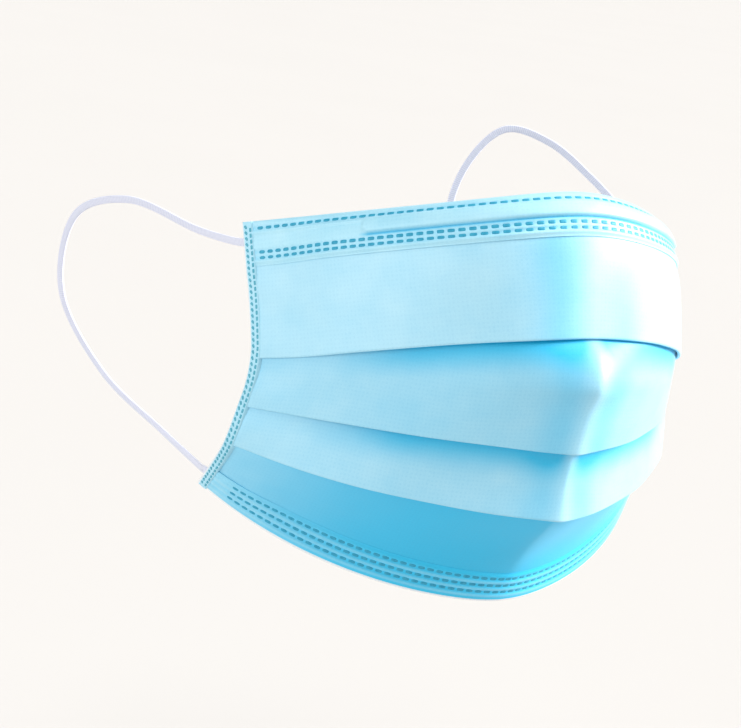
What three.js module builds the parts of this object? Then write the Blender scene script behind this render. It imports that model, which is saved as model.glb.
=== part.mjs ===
// A pleated surgical face mask in the form that it has when it is worn, in millimetres.
// +Z is up, the mask faces -Y and the wearer's right is -X. The origin is on the inside of the
// top hem, in the middle, where the mask sits on the bridge of the nose.
import * as THREE from 'three';

// The cloth
const MASK_WIDTH = 175;
const OPEN_HEIGHT = 109.1;
const FACE_DEPTH = 22;
const CLOTH = 1;
const LAYER_GAP = 0.3;
const PLEAT_DEPTH = 10;

// The edges
const TOP_HEM = 11.5;
const BOTTOM_HEM = 8.5;
const SIDE_BAND = 3.8;
const BAND_THICKNESS = 2.4;
const SEAT_GAP = 0.6;
const BAND_BEHIND = 2.2;

// The nose wire
const WIRE_LENGTH = 106;
const WIRE_WIDTH = 4.4;
const WIRE_THICKNESS = 0.8;
const WIRE_DOWN = 2.9;

// The elastic ear loops
const LOOP_WIDTH = 2.4;
const LOOP_THICKNESS = 0.9;
const LOOP_INSET = 8;
const LOOP_DOWN = 5;

const HALF_WIDTH = MASK_WIDTH / 2;
const LAYER = CLOTH + LAYER_GAP;
const FOLD_RADIUS = LAYER / 2;

// The five rails that the cloth hangs on, from the top edge over the three folds to the bottom
// edge. down and drop are shares of OPEN_HEIGHT, at the middle and from there to the side.
// ahead is a share of FACE_DEPTH. crease, turn and curl are headings in radians: at the middle,
// gained towards the side, and gained evenly. within is the share of HALF_WIDTH that the turn
// takes, and round is how softly the drop starts.
const RAILS = [
  {
    edge: 'top', down: 0.01, ahead: 0, drop: 0.217, round: 0.15,
    crease: -0.007, turn: 0.905, within: 0.387, curl: -0.01,
  },
  {
    edge: 'fold 1', down: 0.288, ahead: 0.778, drop: 0.2185, round: 0.367,
    crease: -0.033, turn: 0.936, within: 0.471, curl: 0.106,
  },
  {
    edge: 'fold 2', down: 0.545, ahead: 0.9, drop: 0.0745, round: 1.067,
    crease: 0.271, turn: 0.604, within: 0.718, curl: 0.176,
  },
  {
    edge: 'fold 3', down: 0.7095, ahead: 0.863, drop: 0.004, round: 0.711,
    crease: 0.285, turn: 0.512, within: 0.838, curl: 0.228,
  },
  {
    edge: 'bottom', down: 1, ahead: 0.012, drop: -0.138, round: 1.65,
    crease: 0, turn: 0.206, within: 0.1, curl: 0.798,
  },
];
const TOP = 0;
const BOTTOM = RAILS.length - 1;

// How far each panel between two rails stands proud in the middle, in millimetres. peak shapes
// where that is: under 1 is nearer the panel's top. spread is a share of the half width.
const PANELS = [
  { panel: 'top', bulge: 3.6, peak: 0.65, spread: 1.6 },
  { panel: 'beak', bulge: 5.5, peak: 0.62, spread: 0.36 },
  { panel: 'chin', bulge: -1, peak: 1, spread: 0.4 },
  { panel: 'bottom', bulge: -2.5, peak: 1.25, spread: 1.6 },
];

// The free stretch of each ear loop, from the upper corner to the lower one, from the origin.
const LOOP_ROUTES = {
  right: [
    [-69.9, 69.9, -26.1],
    [-83.7, 92.3, -24.1],
    [-93.5, 110.6, -33.9],
    [-94.3, 114.7, -57.7],
    [-82.7, 104.8, -78.7],
    [-69, 85.6, -89.4],
    [-64.3, 63.3, -90.7],
  ],
  left: [
    [59.1, 61.6, -15.4],
    [50.2, 73, -5.4],
    [38.7, 82.9, 3],
    [26.9, 89.2, 4.5],
    [16.7, 91.4, -8.8],
    [13.6, 89, -28],
    [22.2, 80.9, -46],
    [37.8, 69.5, -61.2],
    [54.8, 57.4, -73.7],
  ],
};

const RAIL_STEPS = 88;
const STATIONS = 32;
const BODY_END = 1 - (SIDE_BAND + SEAT_GAP) / HALF_WIDTH;

// How far a rail has dropped at a share of the half width, from 0 in the middle to 1 at the side.
function dropShare(rail, t) {
  const near = Math.hypot(t, rail.round) - rail.round;
  const full = Math.hypot(1, rail.round) - rail.round;
  return near / full;
}

// The cloth isn't stretched: what a rail drops in a step, it doesn't gain in plan.
function railPoints(rail) {
  const step = 1 / RAIL_STEPS;
  const points = [];
  const plan = new THREE.Vector2(0, -rail.ahead * FACE_DEPTH);
  for (let i = 0; i <= RAIL_STEPS; i += 1) {
    const t = i * step;
    const z = -OPEN_HEIGHT * (rail.down + rail.drop * dropShare(rail, t));
    points.push(new THREE.Vector3(plan.x, plan.y, z));
    const fall = OPEN_HEIGHT * rail.drop * (dropShare(rail, t + step) - dropShare(rail, t));
    const run = Math.sqrt(Math.max((HALF_WIDTH * step) ** 2 - fall ** 2, 0));
    const middle = t + step / 2;
    const heading = rail.crease + rail.turn * Math.tanh(middle / rail.within) + rail.curl * middle;
    plan.x += Math.cos(heading) * run;
    plan.y += Math.sin(heading) * run;
  }
  return points;
}

const railTable = RAILS.map(railPoints);

// A point of a rail at a share of the half width. A negative share is the wearer's right.
function railAt(k, share) {
  const at = Math.min(Math.abs(share), 1) * RAIL_STEPS;
  const i = Math.min(Math.floor(at), RAIL_STEPS - 1);
  const p = railTable[k][i].clone().lerp(railTable[k][i + 1], at - i);
  p.x *= share < 0 ? -1 : 1;
  return p;
}

function railDirection(k, share) {
  const step = 1 / RAIL_STEPS;
  const from = railAt(k, Math.max(share - step, -1));
  const to = railAt(k, Math.min(share + step, 1));
  return to.sub(from).normalize();
}

function unit(from, to) {
  return to.clone().sub(from).normalize();
}

// The side of a panel that faces the wearer, from the panel's way down and the way of its rail.
function inward(share, k, down) {
  return railDirection(k, share).cross(down).normalize();
}

// A place on the panel under rail k: s is 0 at that rail's level and 1 at the next rail, and
// inset is how far in it lies, towards the wearer.
function onPanel(k, share, s, inset) {
  const { bulge, peak, spread } = PANELS[k];
  const from = railAt(k, share);
  const to = railAt(k + 1, share);
  const side = inward(share, k, unit(from, to));
  if (k > TOP) from.addScaledVector(side, 1.5 * LAYER);
  if (k + 1 < BOTTOM) to.addScaledVector(side, -FOLD_RADIUS);
  const along = Math.sin(Math.PI * Math.min(Math.max(s, 0), 1) ** peak);
  const across = Math.exp(-((share / spread) ** 2)) * (1 - share ** 4);
  return from.lerp(to, s).addScaledVector(side, inset - bulge * along * across);
}

function panelLength(k, share) {
  return railAt(k, share).distanceTo(railAt(k + 1, share));
}

// A pleat opens towards the middle: half of what its two folds move apart comes out of its depth.
function pleatDepth(k, share) {
  const opened = panelLength(k, share) - panelLength(k, 1);
  return Math.max(PLEAT_DEPTH - opened / 2, LAYER);
}

// The inner fold behind the fold on rail k lies flat against the back of the panel above.
function innerFold(k, share) {
  const s = 1 - pleatDepth(k, share) / panelLength(k - 1, share);
  return onPanel(k - 1, share, s, FOLD_RADIUS + LAYER);
}

// A soft fold: points on an arc that turns from one way to the other with its tip at a corner.
const FOLD_STEPS = 4;
function foldArc(from, corner, to) {
  const into = unit(from, corner);
  const out = unit(corner, to);
  const inside = out.clone().sub(into).normalize();
  const across = out.clone().add(into).normalize();
  const centre = corner.clone().addScaledVector(inside, FOLD_RADIUS);
  const half = into.angleTo(out) / 2;
  const points = [];
  for (let i = 0; i <= FOLD_STEPS; i += 1) {
    const angle = half * ((2 * i) / FOLD_STEPS - 1);
    const p = centre.clone().addScaledVector(across, FOLD_RADIUS * Math.sin(angle));
    points.push(p.addScaledVector(inside, -FOLD_RADIUS * Math.cos(angle)));
  }
  return points;
}

// The same place given by how far it is below the top edge, or above the bottom edge.
function topPanel(share, below, inset) {
  return onPanel(TOP, share, below / panelLength(TOP, share), inset);
}

function bottomPanel(share, above, inset) {
  return onPanel(BOTTOM - 1, share, 1 - above / panelLength(BOTTOM - 1, share), inset);
}

function between(from, to, count) {
  const points = [];
  for (let i = 1; i <= count; i += 1) {
    points.push(from.clone().lerp(to, i / (count + 1)));
  }
  return points;
}

// The cloth's way from the top edge to the bottom edge, through the six folds of three pleats.
const PANEL_STEPS = 5;
const HEM_TURN = 2 * LAYER - LAYER_GAP;
function bodySection(share) {
  const points = [];
  for (let k = TOP; k < BOTTOM; k += 1) {
    if (k > TOP) {
      const outer = railAt(k, share);
      const inner = innerFold(k, share);
      points.push(...foldArc(points[points.length - 1], outer, inner));
      points.push(...foldArc(outer, inner, onPanel(k, share, 0, 0)));
    }
    const first = k === TOP ? HEM_TURN / panelLength(k, share) : 0;
    for (let i = 0; i < PANEL_STEPS; i += 1) {
      points.push(onPanel(k, share, first + ((1 - first) * i) / PANEL_STEPS, 0));
    }
  }
  points.push(bottomPanel(share, HEM_TURN, 0));
  return points;
}

// A hem is a strip folded over an edge. place is topPanel or bottomPanel, and front is how far
// its front flap stands off from the middle of the body's cloth.
const HEM_ARC_STEPS = 5;
function hemSection(place, share, width, front, frontLow) {
  const radius = (front + LAYER) / 2;
  const middle = LAYER - radius;
  const arcDown = CLOTH / 2 + radius;
  const points = [place(share, width, -frontLow)];
  if (front > frontLow) {
    points.push(place(share, (width + WIRE_DOWN + WIRE_WIDTH) / 2, -frontLow));
    points.push(place(share, WIRE_DOWN + WIRE_WIDTH + LAYER_GAP, -front));
  }
  for (let i = 0; i <= HEM_ARC_STEPS; i += 1) {
    const angle = (Math.PI * i) / HEM_ARC_STEPS;
    const below = arcDown - radius * Math.sin(angle);
    points.push(place(share, below, middle - radius * Math.cos(angle)));
  }
  points.push(place(share, width, LAYER));
  return points;
}

// A sheet of even thickness over rows of points, closed all round. Its back lies on the wearer's
// side when the rows run down and follow each other towards +X.
function sheetSolid(rows, thickness) {
  const count = rows[0].length;
  const front = [];
  const back = [];
  rows.forEach((row, r) => {
    const before = rows[Math.max(r - 1, 0)];
    const after = rows[Math.min(r + 1, rows.length - 1)];
    row.forEach((p, c) => {
      const along = unit(before[c], after[c]);
      const down = new THREE.Vector3();
      if (c > 0) down.add(unit(row[c - 1], p));
      if (c < count - 1) down.add(unit(p, row[c + 1]));
      const normal = along.cross(down).normalize();
      front.push(p.clone().addScaledVector(normal, -thickness / 2));
      back.push(p.clone().addScaledVector(normal, thickness / 2));
    });
  });
  return closedGrid(front, back, rows.length, count);
}

// Joins a front and a back grid of points, row by row, into one closed body.
function closedGrid(front, back, rowCount, count) {
  const positions = [...front, ...back].flatMap((p) => [p.x, p.y, p.z]);
  const index = [];
  const quad = (a, b, c, d) => index.push(a, b, c, a, c, d);
  const f = (r, c) => r * count + c;
  const b = (r, c) => rowCount * count + r * count + c;
  for (let r = 0; r < rowCount - 1; r += 1) {
    for (let c = 0; c < count - 1; c += 1) {
      quad(f(r, c), f(r, c + 1), f(r + 1, c + 1), f(r + 1, c));
      quad(b(r, c), b(r + 1, c), b(r + 1, c + 1), b(r, c + 1));
    }
    quad(f(r, 0), f(r + 1, 0), b(r + 1, 0), b(r, 0));
    quad(f(r, count - 1), b(r, count - 1), b(r + 1, count - 1), f(r + 1, count - 1));
  }
  for (let c = 0; c < count - 1; c += 1) {
    const end = rowCount - 1;
    quad(f(0, c), b(0, c), b(0, c + 1), f(0, c + 1));
    quad(f(end, c), f(end, c + 1), b(end, c + 1), b(end, c));
  }
  const geometry = new THREE.BufferGeometry();
  geometry.setAttribute('position', new THREE.Float32BufferAttribute(positions, 3));
  geometry.setIndex(index);
  geometry.computeVertexNormals();
  return geometry;
}

// Rows of a section at even steps from one side to the other.
function rowsAcross(section, end, count) {
  const rows = [];
  for (let i = 0; i <= count; i += 1) {
    rows.push(section(end * ((2 * i) / count - 1)));
  }
  return rows;
}

function clothMaterial(color, roughness) {
  return new THREE.MeshStandardMaterial({ color, roughness, metalness: 0 });
}

function pleatedBody() {
  return sheetSolid(rowsAcross(bodySection, BODY_END, STATIONS), CLOTH);
}

const WIRE_INSET = CLOTH / 2 + LAYER_GAP + WIRE_THICKNESS / 2;
const WIRE_COVER = WIRE_INSET + WIRE_THICKNESS / 2 + LAYER_GAP + CLOTH / 2;
function topHem() {
  const section = (share) => hemSection(topPanel, share, TOP_HEM, WIRE_COVER, LAYER);
  return sheetSolid(rowsAcross(section, BODY_END, STATIONS), CLOTH);
}

function bottomHem() {
  const section = (share) => hemSection(bottomPanel, share, BOTTOM_HEM, LAYER, LAYER).reverse();
  const rows = rowsAcross(section, BODY_END, STATIONS);
  return sheetSolid(rows, CLOTH);
}

const WIRE_STATIONS = 24;
function noseWire() {
  const section = (share) => {
    const upper = topPanel(share, WIRE_DOWN, -WIRE_INSET);
    const lower = topPanel(share, WIRE_DOWN + WIRE_WIDTH, -WIRE_INSET);
    return [upper, ...between(upper, lower, 1), lower];
  };
  return sheetSolid(rowsAcross(section, WIRE_LENGTH / MASK_WIDTH, WIRE_STATIONS), WIRE_THICKNESS);
}

// The pressed edge at one side, where all layers are welded together.
const BAND_STEPS = 4;
function bandCorner(k, share) {
  const corner = railAt(k, share);
  if (k === TOP || k === BOTTOM) return corner;
  return corner.addScaledVector(inward(share, k, unit(corner, railAt(k + 1, share))), BAND_BEHIND);
}

function sideBand(side) {
  const shares = [1 - SIDE_BAND / HALF_WIDTH, 1].map((share) => side * share);
  if (side < 0) shares.reverse();
  const rows = shares.map((share) => {
    const corners = RAILS.map((rail, k) => bandCorner(k, share));
    const points = [];
    corners.slice(0, -1).forEach((corner, k) => {
      points.push(corner, ...between(corner, corners[k + 1], BAND_STEPS));
    });
    return [...points, corners[BOTTOM]];
  });
  return sheetSolid(rows, BAND_THICKNESS);
}

// The flat elastic as a round tube with the same girth.
const LOOP_RADIUS = (LOOP_WIDTH + LOOP_THICKNESS) / Math.PI;
const LOOP_SIDES = 8;
const LOOP_STEPS = 64;
const LOOP_SEAT = LAYER + CLOTH / 2 + LAYER_GAP + LOOP_RADIUS;

function loopPoints(side, free) {
  const anchors = [1 - LOOP_INSET / HALF_WIDTH, 1 - LOOP_INSET / MASK_WIDTH, 1];
  const upper = anchors.map((share) => topPanel(side * share, LOOP_DOWN, LOOP_SEAT));
  const lower = anchors.map((share) => bottomPanel(side * share, LOOP_DOWN, LOOP_SEAT));
  return [...upper, ...free, ...lower.reverse()];
}

function earLoop(side, free) {
  const curve = new THREE.CatmullRomCurve3(loopPoints(side, free), false, 'centripetal');
  const circle = new THREE.Shape();
  circle.absarc(0, 0, LOOP_RADIUS, 0, 2 * Math.PI);
  return new THREE.ExtrudeGeometry(circle, {
    steps: LOOP_STEPS,
    curveSegments: LOOP_SIDES / 2,
    bevelEnabled: false,
    extrudePath: curve,
  });
}

const mask = new THREE.Group();

function add(name, geometry, material) {
  const mesh = new THREE.Mesh(geometry, material);
  mesh.name = name;
  mask.add(mesh);
}

// The origin moves from the middle of the top edge to the inside of the hem below it.
const seat = topPanel(0, TOP_HEM / 2, LAYER + CLOTH / 2);
const routes = {};
Object.entries(LOOP_ROUTES).forEach(([side, route]) => {
  routes[side] = route.map((p) => new THREE.Vector3(...p).add(seat));
});
mask.position.copy(seat).negate();

add('pleated_body', pleatedBody(), clothMaterial(0x9fd9ef, 0.9));
add('top_hem', topHem(), clothMaterial(0xc3e6f3, 0.88));
add('nose_wire', noseWire(), clothMaterial(0xe8eef0, 0.5));
add('bottom_hem', bottomHem(), clothMaterial(0x8fd2ee, 0.88));
add('side_band_right', sideBand(-1), clothMaterial(0xb4e0f1, 0.7));
add('side_band_left', sideBand(1), clothMaterial(0xb4e0f1, 0.7));
add('ear_loop_right', earLoop(-1, routes.right), clothMaterial(0xeef0f8, 0.85));
add('ear_loop_left', earLoop(1, routes.left), clothMaterial(0xeef0f8, 0.85));

export default mask;
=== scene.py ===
"""The looks of a pleated surgical face mask with two elastic ear loops, in metres.

The mask faces -Y, +Z is up and the wearer's right is -X. The origin is inside the top hem.
Shares run across the mask, from -1 at the wearer's right side to 1 at the left side. Levels run
down the cloth, from 0 at the top edge over the three folds at 1, 2 and 3 to 4 at the bottom edge.
An inset is how far a point lies behind the front of the cloth, towards the wearer.
"""

import math

import bmesh
import bpy
import numpy as np
from mathutils import Matrix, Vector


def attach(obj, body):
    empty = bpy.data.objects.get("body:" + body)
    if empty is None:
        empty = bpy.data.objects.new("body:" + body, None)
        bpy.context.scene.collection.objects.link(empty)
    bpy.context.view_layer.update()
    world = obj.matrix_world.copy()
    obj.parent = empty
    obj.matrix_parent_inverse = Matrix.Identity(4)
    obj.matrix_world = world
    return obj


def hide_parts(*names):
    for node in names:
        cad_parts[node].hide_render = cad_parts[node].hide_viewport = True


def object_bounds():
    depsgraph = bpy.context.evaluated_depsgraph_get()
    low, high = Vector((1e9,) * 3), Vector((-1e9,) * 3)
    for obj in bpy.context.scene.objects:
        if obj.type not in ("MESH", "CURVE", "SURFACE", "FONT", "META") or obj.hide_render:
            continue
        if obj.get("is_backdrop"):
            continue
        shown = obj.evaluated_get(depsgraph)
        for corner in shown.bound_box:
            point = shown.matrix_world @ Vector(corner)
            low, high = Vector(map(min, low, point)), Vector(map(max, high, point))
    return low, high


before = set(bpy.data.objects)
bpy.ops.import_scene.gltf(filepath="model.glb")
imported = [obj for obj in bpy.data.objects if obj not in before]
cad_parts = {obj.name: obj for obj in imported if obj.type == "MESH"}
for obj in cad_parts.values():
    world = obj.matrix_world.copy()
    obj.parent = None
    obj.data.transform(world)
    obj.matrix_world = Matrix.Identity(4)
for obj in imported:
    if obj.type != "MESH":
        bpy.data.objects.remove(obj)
cad_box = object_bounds()

MM = 0.001
CM_IN_METRE = 100

# The cloth
MASK_WIDTH = 175 * MM
OPEN_HEIGHT = 109.1 * MM
FACE_DEPTH = 22 * MM
HALF_WIDTH = MASK_WIDTH / 2
CLOTH = 0.3 * MM
LAYER_GAP = 0.06 * MM
LOOSE_GAP = 0.35 * MM
PRESSED_GAP = 0.02 * MM
PLEAT_DEPTH = 10 * MM
LEAST_PLEAT = 1.3 * MM
CREASE_WIDTH = 0.012

# The wire under the top hem: its strip, the cloth's ease round it and the groove below it
WIRE_LENGTH = 106 * MM
WIRE_CENTRE = 4.5 * MM
WIRE_WIDTH = 3.4 * MM
WIRE_THICKNESS = 0.5 * MM
WIRE_DEPTH = 0.43 * MM
WIRE_EASE = 0.2 * MM
WIRE_FOOT = 0.4 * MM
WIRE_SLOPE = 0.75 * MM
WIRE_COVER = 0.28 * MM
GROOVE = WIRE_CENTRE + WIRE_WIDTH / 2 + 0.62 * MM
GROOVE_DEPTH = 0.3 * MM

# The hems: how far they reach in front and behind, and how far they stand off the cloth
TOP_HEM = 11.5 * MM
TOP_HEM_BACK = 9.5 * MM
BOTTOM_HEM = 9.2 * MM
BOTTOM_HEM_BACK = 7.5 * MM
HEM_CLOTH = 0.22 * MM
HEM_STAND = 0.45 * MM
HEM_BEHIND = 0.55 * MM
HEM_ROLL = 0.75 * MM
FLAP_FALL = 1.3 * MM
TOP_FLAP_EDGE = 0.28 * MM
BOTTOM_FLAP_EDGE = 0.1 * MM

# The puffs that the welds leave in a hem: where, how wide to each side and how high
TOP_PUFF = 0.16 * MM
UPPER_PUFF = (3.0 * MM, 0.4 * MM, 0.3 * MM)
LOWER_PUFF = (10.5 * MM, 0.5 * MM, 0.26 * MM)
BOTTOM_PUFF = 0.12 * MM
ROW_PUFF = 0.12 * MM
PUFF_OFF_ROW = 1.1 * MM

# The welds pressed into the hems
WELD_PITCH = 2.42 * MM
WELD_LENGTH = 1.85 * MM
WELD_WIDTH = 1.0 * MM
WELD_HEIGHT = 0.2 * MM
WELD_PROUD = 0.02 * MM
TOP_ROWS = (1.9 * MM, 8.0 * MM, 9.5 * MM)
BOTTOM_ROWS = (3.1 * MM, 5.2 * MM, 7.4 * MM)
ROW_DEPTH = 0.26 * MM
ROW_HALF_WIDTH = 0.62 * MM
TOP_ROWS_END = 1.2 * MM
BOTTOM_ROWS_END = 5.2 * MM

# The pressed side edges, and how far they stand in front of the cloth and behind it
SIDE_BAND = 3.6 * MM
BAND_ROUND = 0.55 * MM
BAND_RIB = 0.07 * MM
BAND_FALL = 0.7 * MM
BAND_SUNK = 0.5 * MM
BAND_FRONT = 0.36 * MM
BAND_OVER_HEMS = 0.3 * MM
BAND_BACK = 0.6 * MM
BAND_OVER_PLEATS = 1.0 * MM
BAND_WELD_PITCH = 1.5 * MM
BAND_WELD_SIZE = (1.05 * MM, 0.66 * MM, 0.2 * MM)
BAND_WELD_LIFT = 0.04 * MM

# The two columns of welds down a side edge: how far in, by what share of the pitch they are
# staggered and how much they slant.
BAND_COLUMNS = (
    dict(across=1.15 * MM, stagger=0.0, slant=0.9),
    dict(across=2.45 * MM, stagger=0.5, slant=0.0),
)

# The elastic
LOOP_WIDTH = 2.1 * MM
LOOP_THICKNESS = 0.85 * MM
LOOP_LENGTH = 204 * MM
LOOP_INSET = 8 * MM
LOOP_DOWN = 5 * MM
LOOP_SEAT = 1.15 * MM
LOOP_RIBS = 4

# The middle of the top edge, from the origin
TOP_EDGE = np.array([0, 3.946, 5.467]) * MM

# The five edges that the cloth hangs on. down and drop are shares of the open height, ahead is a
# share of the face depth, the headings are in radians and within is a share of the half width.
RAIL_COLUMNS = ("down", "ahead", "drop", "round", "crease", "turn", "within", "curl")
RAILS = [
    dict(zip(RAIL_COLUMNS, row))
    for row in (
        (0.01, 0, 0.217, 0.15, -0.007, 0.905, 0.387, -0.01),
        (0.288, 0.778, 0.2185, 0.367, -0.033, 0.936, 0.471, 0.106),
        (0.545, 0.9, 0.0745, 1.067, 0.271, 0.604, 0.718, 0.176),
        (0.7095, 0.863, 0.004, 0.711, 0.285, 0.512, 0.838, 0.228),
        (1, 0.012, -0.138, 1.65, 0, 0.206, 0.1, 0.798),
    )
]
TOP, BEAK, CHIN, LOWER, BOTTOM = range(5)

# The four panels between the edges: how far each one bulges, where (under 1 is nearer its top),
# over what share of the half width, and how far it starts behind the fold above it.
PANEL_COLUMNS = ("bulge", "peak", "spread", "undercut")
PANELS = [
    dict(zip(PANEL_COLUMNS, row))
    for row in (
        (3.6 * MM, 0.65, 1.6, 0),
        (2.4 * MM, 0.7, 0.4, 0.35 * MM),
        (-0.9 * MM, 1, 0.4, 0.6 * MM),
        (-2.5 * MM, 1.25, 1.6, 0.6 * MM),
    )
]

# The ridge down the middle of the beak, where it is highest and how it falls off
RIDGE_HEIGHT = 3.4 * MM
RIDGE_PEAK = 0.38
RIDGE_FALL = 0.16
RIDGE_SPREAD = 0.16
RIDGE_ROUND = 0.01

# The free stretch of each ear loop, from the upper corner to the lower one, in millimetres
LOOP_ROUTES = {
    "right": [
        (-69.9, 69.9, -26.1),
        (-83.7, 92.3, -24.1),
        (-93.5, 110.6, -33.9),
        (-94.3, 114.7, -57.7),
        (-82.7, 104.8, -78.7),
        (-69.0, 85.6, -89.4),
        (-64.3, 63.3, -90.7),
    ],
    "left": [
        (59.1, 61.6, -15.4),
        (50.2, 73.0, -5.4),
        (38.7, 82.9, 3.0),
        (26.9, 89.2, 4.5),
        (16.7, 91.4, -8.8),
        (13.6, 89.0, -28.0),
        (22.2, 80.9, -46.0),
        (37.8, 69.5, -61.2),
        (54.8, 57.4, -73.7),
    ],
}


def unit(vectors):
    return vectors / np.linalg.norm(vectors, axis=-1, keepdims=True)


def column(values):
    return np.asarray(values, dtype=float)[..., None]


def smooth(value):
    value = np.clip(value, 0, 1)
    return value * value * (3 - 2 * value)


def soft_line(value, centre, half):
    """One on a line and less to each side of it, with little left at twice its half width."""
    return np.exp(-(((value - centre) / half) ** 2))


def run_along(line):
    """How far along a line each of its points lies."""
    steps = np.linalg.norm(np.diff(line, axis=0), axis=-1)
    return np.concatenate([[0], np.cumsum(steps)])


# The surface that the cloth follows

RAIL_STEP = 0.004
LOOSE_WITHIN = 0.5
UNDERCUT_WITHIN = 0.55


def rail_points(rail, steps=1750):
    """One edge from the middle to the side; what it drops in a step it doesn't gain in plan."""
    t = np.linspace(0, 1, steps + 1)
    fall = np.hypot(t, rail["round"]) - rail["round"]
    z = -OPEN_HEIGHT * (rail["down"] + rail["drop"] * fall / fall[-1])
    run = np.sqrt(np.maximum((HALF_WIDTH / steps) ** 2 - np.diff(z) ** 2, 0))
    middle = (t[1:] + t[:-1]) / 2
    heading = rail["crease"] * middle / np.hypot(middle, CREASE_WIDTH)
    heading += rail["turn"] * np.tanh(middle / rail["within"]) + rail["curl"] * middle
    x = np.concatenate([[0], np.cumsum(np.cos(heading) * run)])
    y = np.concatenate([[0], np.cumsum(np.sin(heading) * run)]) - rail["ahead"] * FACE_DEPTH
    return t, np.stack([x, y, z], axis=1) + TOP_EDGE


RAIL_TABLE = [rail_points(rail) for rail in RAILS]


def rail_at(k, shares):
    """Points of an edge at shares of the half width; the wearer's right is negative."""
    t, points = RAIL_TABLE[k]
    out = np.stack([np.interp(np.abs(shares), t, points[:, i]) for i in range(3)], axis=-1)
    out[..., 0] *= np.sign(shares) + (shares == 0)
    return out


def rail_direction(k, shares):
    ahead = rail_at(k, np.minimum(shares + RAIL_STEP, 1))
    return unit(ahead - rail_at(k, np.maximum(shares - RAIL_STEP, -1)))


def layer(shares):
    """What one layer of a pleat takes up: pressed at the sides and looser in the middle."""
    return CLOTH + LAYER_GAP + LOOSE_GAP * smooth((1 - np.abs(shares)) / LOOSE_WITHIN)


def beak_ridge(shares, s):
    """How far the beak's ridge stands out, at a share s of the way down the panel."""
    rise = np.sin(np.pi / 2 * np.minimum(s / RIDGE_PEAK, 1))
    fall = np.sqrt((1 - s) / (1 - RIDGE_PEAK)) / (1 + ((s - RIDGE_PEAK) / RIDGE_FALL) ** 2)
    ridge = np.exp((RIDGE_ROUND - np.hypot(shares, RIDGE_ROUND)) / RIDGE_SPREAD)
    return RIDGE_HEIGHT * ridge * np.where(s < RIDGE_PEAK, rise, fall)


def proud(k, shares, s):
    """How far a panel stands out from the straight line between its two edges."""
    s = np.clip(s, 0, 1)
    panel = PANELS[k]
    spread = soft_line(shares, 0, panel["spread"]) * (1 - shares**4)
    bulge = panel["bulge"] * np.sin(np.pi * s ** panel["peak"]) * spread
    return bulge + beak_ridge(shares, s) if k == BEAK else bulge


def undercut(k, shares):
    """How far the cloth under a fold starts behind it, past the folded layers themselves."""
    off_ridge = 1 - 0.85 * soft_line(shares, 0, 0.06) * (k == BEAK)
    return PANELS[k]["undercut"] * smooth((1 - np.abs(shares)) / UNDERCUT_WITHIN) * off_ridge


class Panel:
    """The cloth between two edges, at the given shares of the half width."""

    def __init__(self, k, shares):
        self.k, self.shares = k, shares
        start, end = rail_at(k, shares), rail_at(k + 1, shares)
        self.length = np.linalg.norm(end - start, axis=-1)
        self.down = unit(end - start)
        self.side = unit(np.cross(rail_direction(k, shares), self.down))
        back = 1.5 * layer(shares) + undercut(k, shares) if k > TOP else 0 * shares
        front = layer(shares) / 2 if k + 1 < BOTTOM else 0 * shares
        self.start = start + self.side * column(back)
        self.end = end - self.side * column(front)

    def at(self, s, inset=0):
        s = s + 0 * self.shares
        off = inset - proud(self.k, self.shares, s)
        return self.start + (self.end - self.start) * column(s) + self.side * column(off)


def pleat_share(k, shares):
    """Where the inner fold behind edge k lies on the panel above it, from 0 to 1."""
    opened = (Panel(k, shares).length - Panel(k, 1 + 0 * shares).length) / 2
    depth = np.maximum(PLEAT_DEPTH - opened, LEAST_PLEAT)
    return 1 - depth / Panel(k - 1, shares).length


# The pressed side edge

EDGE_SOFTNESS = 0.8
EDGE_STEP = 0.02
PRESS_BEGIN = 0.7
PRESS_END = 0.97
PRESSED_INSET = 0.6


def soft_edge(level, shares):
    """A soft line down the ends of the five edges."""
    ends = [rail_at(k, shares) for k in range(BOTTOM + 1)]
    ends = np.stack([2 * ends[0] - ends[1], *ends, 2 * ends[-1] - ends[-2]])
    level = np.clip(level + 0 * shares, 0, BOTTOM)
    first = np.minimum(level.astype(int), BOTTOM - 1)
    f = level - first
    pick = [np.take_along_axis(ends, (first + i)[None, :, None], axis=0)[0] for i in range(4)]
    weights = ((1 - f) ** 3, 3 * f**3 - 6 * f**2 + 4, -3 * f**3 + 3 * f**2 + 3 * f + 1, f**3)
    soft = sum(p * column(w) for p, w in zip(pick, weights)) / 6
    straight = pick[1] * column(1 - f) + pick[2] * column(f)
    return EDGE_SOFTNESS * soft + (1 - EDGE_SOFTNESS) * straight


EDGE_LEVELS = np.linspace(0, BOTTOM, 161)
SOFT_DROP = -soft_edge(EDGE_LEVELS, 1 + 0 * EDGE_LEVELS)[:, 2]
FOLD_DROP = -np.array([rail_at(k, np.ones(1))[0, 2] for k in range(BOTTOM + 1)])


def edge_curve(level, shares):
    """The pressed side edge, where each fold keeps its own height at its whole level."""
    drop = np.interp(level, range(BOTTOM + 1), FOLD_DROP)
    return soft_edge(np.interp(drop, SOFT_DROP, EDGE_LEVELS), shares)


def edge_side(level, shares):
    """The way in towards the wearer from the pressed edge."""
    way = edge_curve(np.minimum(level + EDGE_STEP, BOTTOM), shares)
    way = unit(way - edge_curve(np.maximum(level - EDGE_STEP, 0), shares))
    along = sum(rail_direction(k, shares) for k in range(BOTTOM + 1))
    return unit(np.cross(unit(along), way))


def pull_to_edge(points, level, depth, shares):
    """Lays the cloth near the sides down on the pressed edge, at a depth behind its front."""
    target = edge_curve(level, shares)
    target += edge_side(level + 0 * shares, shares) * column(depth + 0 * shares)
    amount = smooth((np.abs(shares) - PRESS_BEGIN) / (PRESS_END - PRESS_BEGIN))
    return points + (target - points) * column(amount)


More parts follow.
